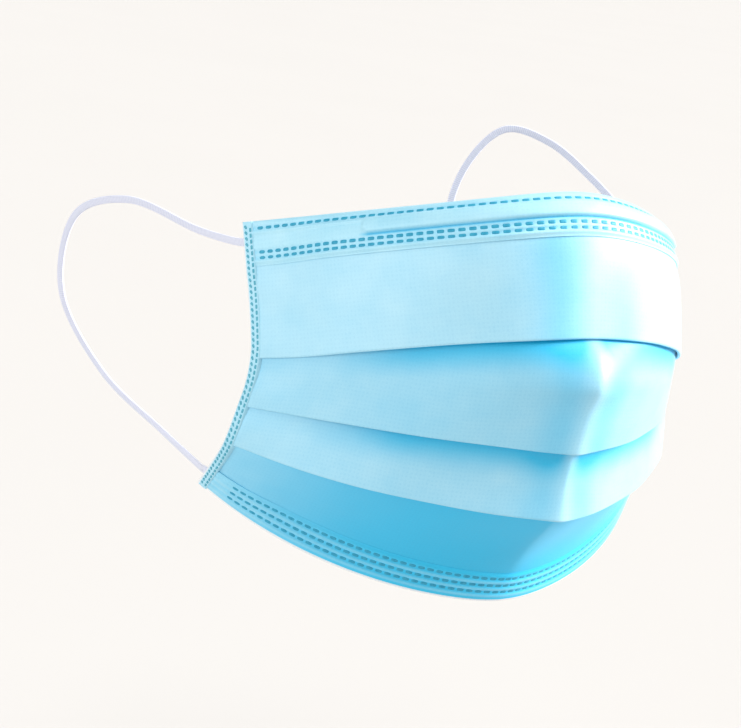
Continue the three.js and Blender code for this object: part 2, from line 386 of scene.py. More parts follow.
def top_place(shares, below, inset):
    """Points at a distance below the top edge."""
    panel = Panel(TOP, shares)
    s = below / panel.length
    return pull_to_edge(panel.at(s, inset), s, PRESSED_INSET * inset, shares)


def bottom_place(shares, above, inset):
    """Points at a distance above the bottom edge."""
    panel = Panel(LOWER, shares)
    s = 1 - above / panel.length
    return pull_to_edge(panel.at(s, inset), LOWER + s, PRESSED_INSET * inset, shares)


# Objects and the camera. The view is in degrees and millimetres, turned about its centre.

VIEW = dict(azimuth=-26.789, elevation=18.105, roll=9.234, distance=307.554, right=-53.382, up=-1.511)
VIEW_CENTRE = np.array([0, -17.829, -28.892])
FOCAL_LENGTH = 65.27
SENSOR_WIDTH = 36


def new_object(name, data):
    thing = bpy.data.objects.new(name, data)
    bpy.context.collection.objects.link(thing)
    return thing


def placed(place, right, up, back):
    """The matrix of a camera or light at a place, looking away from the way back."""
    turned = Matrix([list(v) for v in zip(right, up, back)]).to_4x4()
    return Matrix.Translation(place) @ turned


def photo_camera():
    azimuth, elevation, roll = (math.radians(VIEW[k]) for k in ("azimuth", "elevation", "roll"))
    ahead = np.array([math.sin(azimuth), -math.cos(azimuth), 0])
    back = ahead * math.cos(elevation) + np.array([0, 0, math.sin(elevation)])
    level = np.array([math.cos(azimuth), math.sin(azimuth), 0])
    upright = np.cross(back, level)
    right = math.cos(roll) * level + math.sin(roll) * upright
    up = -math.sin(roll) * level + math.cos(roll) * upright
    place = VIEW_CENTRE + back * VIEW["distance"] + right * VIEW["right"] + up * VIEW["up"]
    data = bpy.data.cameras.new("photo_camera")
    data.sensor_width = SENSOR_WIDTH
    data.sensor_fit = "HORIZONTAL"
    data.lens = FOCAL_LENGTH
    data.clip_start = 0.01
    data.clip_end = 50
    camera = new_object("photo_camera", data)
    camera.matrix_world = placed(place * MM, right, up, back)
    bpy.context.scene.camera = camera


# Materials

WHITE = (1, 1, 1)
FIBRE_WAYS = ((0.5, (9, 70, 1)), (-0.9, (75, 9, 1)), (2.0, (60, 12, 1)))
BETWEEN_FIBRES = (0.86, 0.93, 0.96)
BONDS_IN_CM = 9.5
BOND_COLOUR = (0.9, 0.95, 0.97)
SHEEN_COLOUR = (0.93, 0.985, 1, 1)


def set_inputs(tree, node, **values):
    """Sets a node's inputs, and links those whose value is the output of another node."""
    for key, value in values.items():
        socket = node.inputs[key.replace("_", " ")]
        if isinstance(value, bpy.types.NodeSocket):
            tree.links.new(value, socket)
        else:
            socket.default_value = value


def add_node(tree, kind, **values):
    node = tree.nodes.new(kind)
    set_inputs(tree, node, **values)
    return node


def new_material(name):
    material = bpy.data.materials.new(name)
    material.use_nodes = True
    tree = material.node_tree
    return material, tree, tree.nodes["Principled BSDF"]


def coordinates(tree, kind):
    return add_node(tree, "ShaderNodeTexCoord").outputs[kind]


def noise(tree, vector, scale, detail=3.0, rough=0.5, distortion=0.0):
    node = add_node(tree, "ShaderNodeTexNoise", Vector=vector, Scale=scale)
    set_inputs(tree, node, Detail=detail, Roughness=rough, Distortion=distortion)
    return node.outputs["Fac"]


def stretched(tree, vector, scale, turn=0.0):
    node = add_node(tree, "ShaderNodeMapping", Vector=vector, Scale=scale, Rotation=(0, 0, turn))
    return node.outputs["Vector"]


def blend_colours(tree, factor, low, high, first, second):
    node = add_node(tree, "ShaderNodeValToRGB", Fac=factor)
    for stop, place, colour in zip(node.color_ramp.elements, (low, high), (first, second)):
        stop.position = place
        stop.color = (*colour, 1)
    return node.outputs["Color"]


def mix_colours(tree, factor, one, two, mode="MIX"):
    node = add_node(tree, "ShaderNodeMix")
    node.data_type = "RGBA"
    node.blend_type = mode
    set_inputs(tree, node, Factor=factor, A=one, B=two)
    return node.outputs["Result"]


def add_bump(tree, height, strength, distance, before=None):
    node = add_node(tree, "ShaderNodeBump", Height=height, Strength=strength, Distance=distance)
    if before is not None:
        set_inputs(tree, node, Normal=before)
    return node.outputs["Normal"]


def higher(tree, one, two):
    node = add_node(tree, "ShaderNodeMath")
    node.operation = "MAXIMUM"
    tree.links.new(one, node.inputs[0])
    tree.links.new(two, node.inputs[1])
    return node.outputs[0]


def mix_painted_shade(tree, colour, shade):
    """The colour on open cloth, and a painted shade where the cloth lies sheltered from the light."""
    depth = add_node(tree, "ShaderNodeAttribute")
    depth.attribute_name = "painted_shade_share"
    return mix_colours(tree, depth.outputs["Fac"], colour, (*shade, 1))


def fibre_web(tree, uv):
    """Fine fibres that lie every way over each other."""
    web = None
    for turn, scale in FIBRE_WAYS:
        fibres = noise(tree, stretched(tree, uv, scale, turn), 1.0, 2.0, 0.6, 0.6)
        web = fibres if web is None else higher(tree, web, fibres)
    return web


def bond_points(tree, uv):
    """A grid of small points where the fibres are melted together."""
    node = add_node(tree, "ShaderNodeTexVoronoi", Vector=uv, Scale=BONDS_IN_CM, Randomness=0.12)
    return blend_colours(tree, node.outputs["Distance"], 0.16, 0.36, BOND_COLOUR, WHITE)


def nonwoven(name, pale, deep, rough=0.46, grain=1.0, shade=None):
    """Spun-bonded cloth: a web of fibres with a grid of small bond points."""
    material, tree, shader = new_material(name)
    uv = coordinates(tree, "UV")
    colour = blend_colours(tree, noise(tree, uv, 0.9, 4.0, 0.6), 0.35, 0.68, deep, pale)
    # Painted shade: the shade colour is mixed in by each point's painted shade share
    if shade is not None:
        colour = mix_painted_shade(tree, colour, shade)
    web = fibre_web(tree, uv)
    points = bond_points(tree, uv)
    mottled = blend_colours(tree, web, 0.42, 0.72, BETWEEN_FIBRES, WHITE)
    colour = mix_colours(tree, 0.8, colour, mottled, "MULTIPLY")
    colour = mix_colours(tree, 0.6, colour, points, "MULTIPLY")
    normal = add_bump(tree, web, 0.35 * grain, 0.12 * MM)
    normal = add_bump(tree, points, 0.35 * grain, 0.08 * MM, normal)
    set_inputs(tree, shader, Base_Color=colour, Normal=normal, Roughness=rough, IOR=1.6)
    set_inputs(tree, shader, Sheen_Weight=0.1, Sheen_Roughness=0.45, Sheen_Tint=SHEEN_COLOUR)
    return material


def melted(name, pale, deep, rough):
    """Cloth pressed hot until its fibres have run together."""
    material, tree, shader = new_material(name)
    cloudy = noise(tree, coordinates(tree, "Object"), 900, 3.0, 0.6)
    colour = blend_colours(tree, cloudy, 0.35, 0.65, deep, pale)
    normal = add_bump(tree, cloudy, 0.25, 0.06 * MM)
    set_inputs(tree, shader, Base_Color=colour, Normal=normal, Roughness=rough)
    return material


def elastic_knit(name, pale, deep):
    """Ribbed elastic: fine knitted loops across the strap, in lengthwise ribs."""
    material, tree, shader = new_material(name)
    uv = coordinates(tree, "UV")
    knit = add_node(tree, "ShaderNodeTexWave", Vector=uv, Scale=5.5)
    knit.bands_direction = "Y"
    set_inputs(tree, knit, Distortion=1.2, Detail=2.0, Detail_Scale=1.5)
    loops = knit.outputs["Fac"]
    fuzz = noise(tree, uv, 30, 3.0, 0.6)
    colour = blend_colours(tree, loops, 0.1, 0.9, deep, pale)
    mottled = blend_colours(tree, fuzz, 0.3, 0.7, (0.88, 0.9, 0.94), WHITE)
    colour = mix_colours(tree, 0.7, colour, mottled, "MULTIPLY")
    normal = add_bump(tree, loops, 0.4, 0.08 * MM)
    normal = add_bump(tree, fuzz, 0.3, 0.05 * MM, normal)
    set_inputs(tree, shader, Base_Color=colour, Normal=normal, Roughness=0.75)
    set_inputs(tree, shader, Sheen_Weight=0.4, Sheen_Roughness=0.5)
    return material


def galvanised(name):
    """Dull wire, with fine lines from its drawing."""
    material, tree, shader = new_material(name)
    drawn = noise(tree, stretched(tree, coordinates(tree, "Object"), (80, 80, 2500)), 1.0, 2.0)
    colour = blend_colours(tree, drawn, 0.3, 0.7, (0.62, 0.64, 0.66), (0.8, 0.81, 0.82))
    set_inputs(tree, shader, Base_Color=colour, Roughness=0.4, Metallic=0.6)
    return material


def plain_floor(name, deep, pale):
    material, tree, shader = new_material(name)
    cloudy = noise(tree, coordinates(tree, "Object"), 3.0, 2.0)
    colour = blend_colours(tree, cloudy, 0.3, 0.7, deep, pale)
    set_inputs(tree, shader, Base_Color=colour, Roughness=0.9, Specular_IOR_Level=0.1)
    return material


# The shade colours of the outer and hem cloth are painted shade, mixed in by each point's painted
# shade share
OUTER = nonwoven(
    "outer_cloth", pale=(0.46, 0.785, 0.93), deep=(0.39, 0.74, 0.91), shade=(0.0, 0.51, 0.83)
)
HEM = nonwoven(
    "hem_cloth", pale=(0.47, 0.80, 0.93), deep=(0.38, 0.74, 0.90), grain=0.7, shade=(0.0, 0.55, 0.87)
)
INNER = nonwoven("inner_cloth", pale=(0.86, 0.91, 0.94), deep=(0.80, 0.86, 0.91), rough=0.7)
WELD = melted("melted_welds", (0.03, 0.37, 0.56), (0.01, 0.29, 0.47), 0.55)
EDGE_WELD = melted("pressed_edge_welds", (0.10, 0.43, 0.57), (0.05, 0.36, 0.50), 0.45)
ELASTIC = elastic_knit("ear_loop_elastic", (0.80, 0.82, 0.93), (0.66, 0.69, 0.84))
WIRE = galvanised("nose_wire_strip")


# Meshes


def link_mesh(name, vertices, faces, materials, slots=None, uv=None, sharp=45):
    """A closed mesh object with its faces turned outwards; uv has one pair for each vertex."""
    mesh = bpy.data.meshes.new(name)
    mesh.from_pydata([tuple(v) for v in vertices], [], [tuple(int(i) for i in f) for f in faces])
    for material in materials:
        mesh.materials.append(material)
    if slots is not None:
        mesh.polygons.foreach_set("material_index", np.asarray(slots, dtype=np.int32))
    if uv is not None:
        corners = np.empty(len(mesh.loops), dtype=np.int32)
        mesh.loops.foreach_get("vertex_index", corners)
        mesh.uv_layers.new(name="cloth").data.foreach_set("uv", np.asarray(uv)[corners].ravel())
    work = bmesh.new()
    work.from_mesh(mesh)
    bmesh.ops.recalc_face_normals(work, faces=work.faces)
    work.to_mesh(mesh)
    work.free()
    mesh.shade_smooth()
    mesh.set_sharp_from_angle(angle=math.radians(sharp))
    return new_object(name, mesh)


def grid_normals(grid):
    along = np.gradient(grid, axis=0)
    down = np.gradient(grid, axis=1)
    return unit(np.cross(along, down))


def shell(name, grid, thickness, materials, uv, rim_slot=0, white=None):
    """A sheet of even thickness over a grid of points, with slot 0 in front and slot 1 behind.

    The columns of its front that white names are in slot 1 too.
    """
    rows, count = grid.shape[:2]
    normal = grid_normals(grid)
    front = (grid - normal * thickness / 2).reshape(-1, 3)
    back = (grid + normal * thickness / 2).reshape(-1, 3)
    index = np.arange(rows * count).reshape(rows, count)
    quads = np.stack([index[:-1, :-1], index[:-1, 1:], index[1:, 1:], index[1:, :-1]], -1)
    flat = quads.reshape(-1, 4)
    edge = np.concatenate([index[0, :], index[1:, -1], index[-1, -2::-1], index[-2:0:-1, 0]])
    after = np.roll(edge, -1)
    shift = rows * count
    rim = np.stack([edge, edge + shift, after + shift, after], -1)
    faces = np.concatenate([flat, flat[:, ::-1] + shift, rim])
    slots = np.zeros((rows - 1, count - 1), dtype=int)
    if white is not None:
        slots[:, white] = 1
    slots = np.concatenate([slots.ravel(), np.ones(len(flat), int), np.full(len(rim), rim_slot)])
    both = np.concatenate([uv.reshape(-1, 2)] * 2)
    return link_mesh(name, np.concatenate([front, back]), faces, materials, slots, both)


def tube_faces(rows, count):
    """The faces of a tube of rings, with a flat face on each end."""
    index = np.arange(rows * count).reshape(rows, count)
    after = np.roll(index, -1, axis=1)
    quads = np.stack([index[:-1], after[:-1], after[1:], index[1:]], -1).reshape(-1, 4)
    return [tuple(q) for q in quads] + [tuple(index[0]), tuple(index[-1])]


def tube_uv(across, length):
    """Centimetres round a tube and along it."""
    both = np.broadcast_arrays(across[None, :], length[:, None])
    return np.stack(both, -1).reshape(-1, 2) * CM_IN_METRE


def cloth_uv(grid, shares):
    """Centimetres across the mask and down the cloth."""
    down = np.stack([run_along(line) for line in grid])
    across = np.repeat(column(shares) * HALF_WIDTH, grid.shape[1], axis=1)
    return np.stack([across, down], axis=-1) * CM_IN_METRE


# Pleated body

BODY_STATIONS = 231
CLOTH_END = 1 - 0.6 * MM / HALF_WIDTH
PANEL_STEPS = {TOP: 20, BEAK: 26, CHIN: 14, LOWER: 22}
FOLD_TURN = np.linspace(0, np.pi, 7)
PLEAT_BACK_STEPS = (0.25, 0.5, 0.75)
PLEAT_RETURN_STEPS = (0.2, 0.4, 0.6, 0.8)
OUTER_EDGE_CLEAR = 0.9 * MM
FOLD_CLEAR = 0.5 * MM
HEM_FADE = 6 * MM

# The unevenness of the limp cloth
BROAD_WAVE = 0.3 * MM
FINE_WAVE = 0.14 * MM
PUCKER = 0.35 * MM
PUCKER_REACH = 0.08
WAVE_FADE = 0.06

# Painted shade: how much darker the colour is painted beside the middle, beside the ridge and on
# the two stepped faces, how much a painted highlight lightens the crest, and how far down a
# painted shadow reaches under a fold
TOP_SHADE = 0.45
RIDGE_SHADE = 0.3
FACE_SHADE = {BEAK: 0.22, CHIN: 0.15}
CREST_LIGHT = 0.6
FOLD_SHADOW_REACH = 6.5 * MM


def even_shares(count, end=1.0):
    """Shares from side to side, closer together near the middle and the pressed edges."""
    t = np.linspace(-1, 1, count)
    return end * t * (0.72 + 0.5 * t**2 - 0.22 * t**4)


def panel_stack(k, s):
    """How many layers of cloth lie in front of a panel: two just under a fold, none at the next."""
    return 2 * (1 - s) if k > TOP else 0 * s


def folded_pleat(k, shares):
    """The two folds and three layers of the pleat on edge k, as (points, level, stack)."""
    above = Panel(k - 1, shares)
    radius = layer(shares) / 2
    short = radius / above.length
    inner_share = pleat_share(k, shares)
    tip = above.at(1 - short, radius)
    for angle in FOLD_TURN:
        out = above.down * math.sin(angle) - above.side * math.cos(angle)
        level = k - short * (1 - math.sin(angle))
        yield tip + out * column(radius), level, (1 - math.cos(angle)) / 2
    for part in PLEAT_BACK_STEPS:
        s = 1 + (inner_share - 1) * part
        yield above.at(s, 2 * radius), k - 1 + s, panel_stack(k - 1, s) + 1
    tip = above.at(inner_share, 3 * radius)
    for angle in FOLD_TURN:
        out = -above.down * math.sin(angle) - above.side * math.cos(angle)
        level = k - 1 + inner_share - short * math.sin(angle)
        stack = panel_stack(k - 1, inner_share) + 1 + (1 - math.cos(angle)) / 2
        yield tip + out * column(radius), level, stack
    for part in PLEAT_RETURN_STEPS:
        s = inner_share + (1 - inner_share) * part
        inset = 4 * radius + undercut(k, shares) * part
        yield above.at(s, inset), k - 1 + s, panel_stack(k - 1, s) + 2


def panel_columns(k, shares):
    """The columns of cloth down a panel, as (points, level, stack)."""
    panel = Panel(k, shares)
    first = OUTER_EDGE_CLEAR / panel.length if k == TOP else 0 * shares
    last = 1 - (OUTER_EDGE_CLEAR if k == LOWER else FOLD_CLEAR) / panel.length
    for part in np.linspace(0, 1, PANEL_STEPS[k]):
        s = first + (last - first) * part
        yield panel.at(s), k + s, panel_stack(k, s)


def soft_waves(points, shares):
    """Small soft unevenness of limp cloth, and short puckers beside the pressed edges."""
    x, z = points[..., 0] / MM, points[..., 2] / MM
    wave = BROAD_WAVE * np.sin(x / 9.5 + 0.6 * np.sin(z / 13)) * np.sin(z / 11 + 1.3)
    wave += FINE_WAVE * np.sin(x / 4.1 - z / 6.3 + 0.7)
    near = np.exp(-(1 - np.abs(shares)) / PUCKER_REACH)[:, None]
    wave += PUCKER * near * np.sin(z / 1.9 + 0.8 * np.sin(z / 4.7))
    fade = smooth((CLOTH_END - np.abs(shares)) / WAVE_FADE)[:, None]
    down = rail_at(BOTTOM, shares) - rail_at(TOP, shares)
    outward = unit(np.cross(down, rail_direction(CHIN, shares)))
    return column(wave * fade) * outward[:, None]


def clear_of_hems(level, shares):
    """Nothing under the hems, where the cloth lies flat, and one well away from them."""
    below = level * column(Panel(TOP, shares).length)
    above = (BOTTOM - level) * column(Panel(LOWER, shares).length)
    return smooth((below - TOP_HEM) / HEM_FADE) * smooth((above - BOTTOM_HEM) / HEM_FADE)


def painted_chin_shade(shares):
    """Painted shade under the chin, where the cloth faces down: one in the middle and less towards
    the sides.
    """
    return np.exp(-((shares / 0.95) ** 4))


def painted_shade_share(k, shares, down):
    """How much shade is painted: a shadow close under a fold, shade beside the ridge and under the
    chin.
    """
    side = np.abs(shares)
    if k == TOP:
        return TOP_SHADE * soft_line(side, 0.1, 0.07) + 0 * down
    if k == LOWER:
        return painted_chin_shade(shares) + 0 * down
    middle = 1 - smooth((side - 0.45) / 0.35)
    ridge = RIDGE_SHADE * soft_line(side, 0.07, 0.06)
    face = FACE_SHADE[k] * (0.5 + 0.5 * middle)
    under = soft_line(down, 0, FOLD_SHADOW_REACH) * (0.25 + 0.75 * middle)
    crest = 1 - CREST_LIGHT * soft_line(shares, 0, 0.03)
    return np.clip((np.maximum(under, face) + ridge) * crest, 0, 1)


def body_painted_shade(level, shares):
    """The painted shade share for every point of the body."""
    out = np.zeros(level.shape)
    panels = np.clip(level.mean(axis=0).astype(int), TOP, LOWER)
    for k in range(BOTTOM):
        length = Panel(k, shares).length
        for i in np.flatnonzero(panels == k):
            out[:, i] = painted_shade_share(k, shares, (level[:, i] - k) * length)
    return out


def store_painted_shade(piece, depth):
    """Keeps the painted shade share on both faces of a shell."""
    deep = piece.data.attributes.new("painted_shade_share", "FLOAT", "POINT")
    deep.data.foreach_set("value", np.concatenate([np.clip(depth, 0, 1).ravel()] * 2))


def pleated_body():
    """The cloth in one sheet from the top edge to the bottom edge, folded into three pleats."""
    shares = even_shares(BODY_STATIONS, CLOTH_END)
    columns = []
    for k in range(BOTTOM):
        if k > TOP:
            columns.extend(folded_pleat(k, shares))
        columns.extend(panel_columns(k, shares))
    pitch = CLOTH + PRESSED_GAP
    laid = [pull_to_edge(points, level, stack * pitch, shares) for points, level, stack in columns]
    grid = np.stack(laid, axis=1)
    level = np.stack([level + 0 * shares for _, level, _ in columns], axis=1)
    grid = grid + soft_waves(grid, shares) * column(clear_of_hems(level, shares))
    body = shell("pleated_body_cloth", grid, CLOTH, [OUTER, INNER], cloth_uv(grid, shares))
    # Painted shadow under the folds, painted shade beside the ridge and under the chin
    store_painted_shade(body, body_painted_shade(level, shares))
    return body


# Hems

HEM_STATIONS = 421
HEM_STEPS = 46
HEM_BACK_STEPS = 12
EDGE_TURN = FOLD_TURN[1:-1]


def rows_of_welds(down, across, rows):
    """How deep rows of welds press into a hem: most at each weld and less between two."""
    depth = 0 * (down + across)
    for row in rows:
        groove = np.exp(-(((down - row) / ROW_HALF_WIDTH) ** 4))
        depth = depth + groove * (0.8 + 0.2 * np.cos(2 * np.pi * across / WELD_PITCH))
    return depth * ROW_DEPTH


def raised(down, centre, half, height):
    return height * soft_line(down, centre, half)


def to_edge(stand, down, width, edge):
    """Brings the free edge of a hem's flap down onto the cloth."""
    near = smooth((down - width + FLAP_FALL) / FLAP_FALL)
    return stand + (edge - stand) * near


def past_wire(across, end):
    """How far a place lies past the wire, whose end is rounded off over a length."""
    return np.maximum(np.abs(across) - WIRE_LENGTH / 2 + end, 0)


def top_hem_stand(shares, down):
    """How far the front of the top hem stands off the cloth, with the wire's ridge under it."""
    across = shares * HALF_WIDTH
    half = WIRE_WIDTH / 2 + WIRE_EASE
    beyond = past_wire(across, half)
    from_wire = np.hypot(beyond, down - WIRE_CENTRE)
    ridge = smooth((half + WIRE_FOOT - from_wire) / WIRE_SLOPE)
    crown = np.clip(1 - 0.22 * ((down - WIRE_CENTRE) / half) ** 2, 0, 1)
    stand = HEM_STAND + TOP_PUFF * np.sin(np.pi * np.clip(down / TOP_HEM, 0, 1))
    stand = stand + (WIRE_THICKNESS + WIRE_COVER) * ridge * crown
    stand = stand + raised(down, *UPPER_PUFF) * (1 - ridge) + raised(down, *LOWER_PUFF)
    stand = stand - raised(down, GROOVE, 0.3 * MM, GROOVE_DEPTH) * smooth(1 - beyond / half)
    return to_edge(stand - rows_of_welds(down, across, TOP_ROWS), down, TOP_HEM, TOP_FLAP_EDGE)


def bottom_hem_stand(shares, above):
    """How far the front of the bottom hem stands off the cloth."""
    across = shares * HALF_WIDTH
    stand = HEM_STAND + BOTTOM_PUFF * np.sin(np.pi * np.clip(above / BOTTOM_HEM, 0, 1))
    stand = stand + sum(raised(above, row - PUFF_OFF_ROW, 0.5 * MM, ROW_PUFF) for row in BOTTOM_ROWS)
    stand = stand - rows_of_welds(above, across, BOTTOM_ROWS)
    return to_edge(stand, above, BOTTOM_HEM, BOTTOM_FLAP_EDGE)


def flap_steps(width):
    return np.linspace(width, HEM_ROLL, HEM_STEPS)


def rolled(front, back, angle):
    """The inset on the way round an edge, from in front of the cloth to behind it."""
    return (back - front) / 2 - (back + front) / 2 * math.cos(angle)


def hem_grid(place, shares, stand, width, back_width):
    """A strip folded over an edge, from its front flap round the edge to its back flap."""
    columns = []
    for down in flap_steps(width):
        columns.append(place(shares, down, -stand(shares, down)))
    front = stand(shares, HEM_ROLL)
    for angle in EDGE_TURN:
        down = HEM_ROLL * (1 - math.sin(angle))
        columns.append(place(shares, down, rolled(front, HEM_BEHIND, angle)))
    for down in np.linspace(HEM_ROLL, back_width, HEM_BACK_STEPS):
        columns.append(place(shares, down, HEM_BEHIND + 0 * shares))
    return np.stack(columns, axis=1)


def hem_shade_share(shares, width, depth, flap_first=True):
    """The painted shade share for every point of a hem, from how much shade is painted at distances
    from the edge.
    """
    flap = np.stack([depth(shares, down) for down in flap_steps(width)], axis=1)
    rest = np.zeros((len(shares), len(EDGE_TURN) + HEM_BACK_STEPS))
    whole = np.concatenate([flap, rest], axis=1)
    return whole if flap_first else whole[:, ::-1]


def top_hem_painted_shade(shares, down):
    """Painted shade, deeper along the groove under the wire and along the rows of welds."""
    beyond = past_wire(shares * HALF_WIDTH, WIRE_WIDTH / 2)
    wired = smooth(1 - beyond / WIRE_WIDTH)
    groove = 0.75 * soft_line(down, GROOVE, 0.42 * MM) * wired
    rows = 0.28 * sum(soft_line(down, row, 0.6 * MM) for row in TOP_ROWS)
    return groove + rows


def bottom_hem_painted_light(shares, above):
    """Painted shade, deep under the chin, with a painted highlight on the puffs beside the rows of
    welds.
    """
    pale = sum(soft_line(above, row - PUFF_OFF_ROW, 0.45 * MM) for row in BOTTOM_ROWS)
    return painted_chin_shade(shares) * (1 - 0.35 * pale)


def top_hem():
    shares = np.linspace(-CLOTH_END, CLOTH_END, HEM_STATIONS)
    grid = hem_grid(top_place, shares, top_hem_stand, TOP_HEM, TOP_HEM_BACK)[:, ::-1]
    strip = shell("top_hem_strip", grid, HEM_CLOTH, [HEM, INNER], cloth_uv(grid, shares))
    store_painted_shade(strip, hem_shade_share(shares, TOP_HEM, top_hem_painted_shade, False))
    return strip


def bottom_hem():
    """The strip over the bottom edge, white where it turns round the edge."""
    shares = np.linspace(-CLOTH_END, CLOTH_END, HEM_STATIONS)
    grid = hem_grid(bottom_place, shares, bottom_hem_stand, BOTTOM_HEM, BOTTOM_HEM_BACK)
    white = slice(HEM_STEPS - 1, HEM_STEPS + len(EDGE_TURN))
    strip = shell("bottom_hem_strip", grid, HEM_CLOTH, [HEM, INNER], cloth_uv(grid, shares), 0, white)
    store_painted_shade(strip, hem_shade_share(shares, BOTTOM_HEM, bottom_hem_painted_light))
    return strip


def nose_wire():
    """The flat strip of wire between the top hem and the cloth."""
    shares = np.linspace(-1, 1, 97) * WIRE_LENGTH / MASK_WIDTH
    columns = []
    for part in np.linspace(-0.5, 0.5, 7):
        down = WIRE_CENTRE + part * WIRE_WIDTH + 0 * shares
        columns.append(top_place(shares, down, -WIRE_DEPTH))
    grid = np.stack(columns, axis=1)
    return shell("nose_wire_strip", grid, WIRE_THICKNESS, [WIRE], cloth_uv(grid, shares))


# Pressed side edges

BAND_LEVELS = 361
BAND_FRONT_STEPS = 13
BAND_BACK_STEPS = 6
BAND_WELD_END = 0.04
UNDER_TOP_HEM = 0.5
OVER_BOTTOM_HEM = 3.38


def band_front(level):
    """How far the pressed edge stands in front of the cloth: more where a hem lies under it."""
    hems = smooth((UNDER_TOP_HEM - level) / 0.15) + smooth((level - OVER_BOTTOM_HEM) / 0.15)
    return BAND_FRONT + BAND_OVER_HEMS * hems


def band_back(level):
    """How far it reaches behind: more where the pleats are pressed into it."""
    pleats = smooth((level - 0.5) / 0.5) * smooth((3.6 - level) / 0.5)
    return BAND_BACK + BAND_OVER_PLEATS * pleats


def band_point(side, level, across, inset):
    share = side * (1 - across / HALF_WIDTH) + 0 * level
    point = edge_curve(level, share)
    return point + edge_side(level, share) * column(inset)


def band_outline(level):
    """The rounded strip's outline at each level, as pairs of a distance in and an inset."""
    front, back = band_front(level), band_back(level)
    first = BAND_COLUMNS[0]["across"]
    apart = BAND_COLUMNS[1]["across"] - first
    outline = []
    for across in np.linspace(SIDE_BAND, BAND_ROUND, BAND_FRONT_STEPS):
        rib = BAND_RIB * math.cos(2 * math.pi * (across - first) / apart)
        buried = smooth((across - SIDE_BAND + BAND_FALL) / BAND_FALL)
        outline.append((across, (rib - front) * (1 - buried) + BAND_SUNK * buried))
    for angle in EDGE_TURN:
        outline.append((BAND_ROUND * (1 - math.sin(angle)), rolled(front, back, angle)))
    for across in np.linspace(BAND_ROUND, SIDE_BAND, BAND_BACK_STEPS):
        outline.append((across, back))
    return outline


def side_band(name, side):
    """The edge where every layer is pressed into one, white behind."""
    level = np.linspace(0, BOTTOM, BAND_LEVELS)
    outline = band_outline(level)
    rings = np.stack([band_point(side, level, across, inset) for across, inset in outline], axis=1)
    rows, count = rings.shape[:2]
    slots = np.zeros((rows - 1, count), dtype=int)
    slots[:, BAND_FRONT_STEPS - 1 :] = 1
    slots = np.concatenate([slots.ravel(), [0, 0]])
    across = np.array([across for across, _ in outline])
    uv = tube_uv(across, run_along(rings[:, 0]))
    faces = tube_faces(rows, count)
    return link_mesh(name, rings.reshape(-1, 3), faces, [HEM, INNER], slots, uv)


# Welds

WELD_INPUTS = ("Weld length", "Weld width", "Weld height")
WELD_STEP = 0.2 * MM


def set_input(modifier, tree, name, value):
    socket = next(s for s in tree.interface.items_tree if s.name == name and s.in_out == "INPUT")
    modifier[socket.identifier] = value


def rounded_pad(tree, given):
    """One pressed pad of the given length, width and height."""
    size = add_node(tree, "ShaderNodeCombineXYZ")
    for i, name in enumerate(WELD_INPUTS):
        tree.links.new(given.outputs[name], size.inputs[i])
    block = add_node(tree, "GeometryNodeMeshCube", Vertices_X=3, Size=size.outputs[0])
    rounded = add_node(tree, "GeometryNodeSubdivisionSurface", Mesh=block.outputs["Mesh"])
    set_inputs(tree, rounded, Level=1, Edge_Crease=0.65)
    return rounded.outputs["Mesh"]


def point_vector(tree, name):
    node = add_node(tree, "GeometryNodeInputNamedAttribute")
    node.data_type = "FLOAT_VECTOR"
    set_inputs(tree, node, Name=name)
    return node.outputs["Attribute"]


def weld_tree(material):
    """Lays one pressed pad on every point, turned by the point's along and outward vectors."""
    tree = bpy.data.node_groups.new("rows_of_welds", "GeometryNodeTree")
    face = tree.interface
    face.new_socket(name="Points", in_out="INPUT", socket_type="NodeSocketGeometry")
    for name in WELD_INPUTS:
        face.new_socket(name=name, in_out="INPUT", socket_type="NodeSocketFloat")
    face.new_socket(name="Welds", in_out="OUTPUT", socket_type="NodeSocketGeometry")
    given = add_node(tree, "NodeGroupInput")
    turn = add_node(tree, "FunctionNodeAxesToRotation")
    turn.primary_axis = "Z"
    turn.secondary_axis = "X"
    set_inputs(tree, turn, Primary_Axis=point_vector(tree, "outward"))
    set_inputs(tree, turn, Secondary_Axis=point_vector(tree, "along"))
    laid = add_node(tree, "GeometryNodeInstanceOnPoints", Points=given.outputs["Points"])
    set_inputs(tree, laid, Instance=rounded_pad(tree, given), Rotation=turn.outputs["Rotation"])
    real = add_node(tree, "GeometryNodeRealizeInstances", Geometry=laid.outputs["Instances"])
    finish = add_node(tree, "GeometryNodeSetMaterial", Geometry=real.outputs["Geometry"])
    set_inputs(tree, finish, Material=material)
    add_node(tree, "NodeGroupOutput", Welds=finish.outputs["Geometry"])
    return tree


def lay_welds(name, places, along, outward, size, material):
    """One mesh of welds on the given places; size is the length, width and height of each."""
    points = bpy.data.meshes.new(name + "_points")
    points.from_pydata([tuple(p) for p in places], [], [])
    for key, values in (("along", along), ("outward", outward)):
        data = points.attributes.new(key, "FLOAT_VECTOR", "POINT")
        data.data.foreach_set("vector", np.asarray(values, dtype=float).ravel())
    seeds = new_object(name + "_points", points)
    tree = weld_tree(material)
    modifier = seeds.modifiers.new("welds", "NODES")
    modifier.node_group = tree
    for key, value in zip(WELD_INPUTS, size):
        set_input(modifier, tree, key, float(value))
    shaped = seeds.evaluated_get(bpy.context.evaluated_depsgraph_get())
    mesh = bpy.data.meshes.new_from_object(shaped)
    mesh.name = name
    mesh.shade_smooth()
    bpy.data.objects.remove(seeds)
    return new_object(name, mesh)


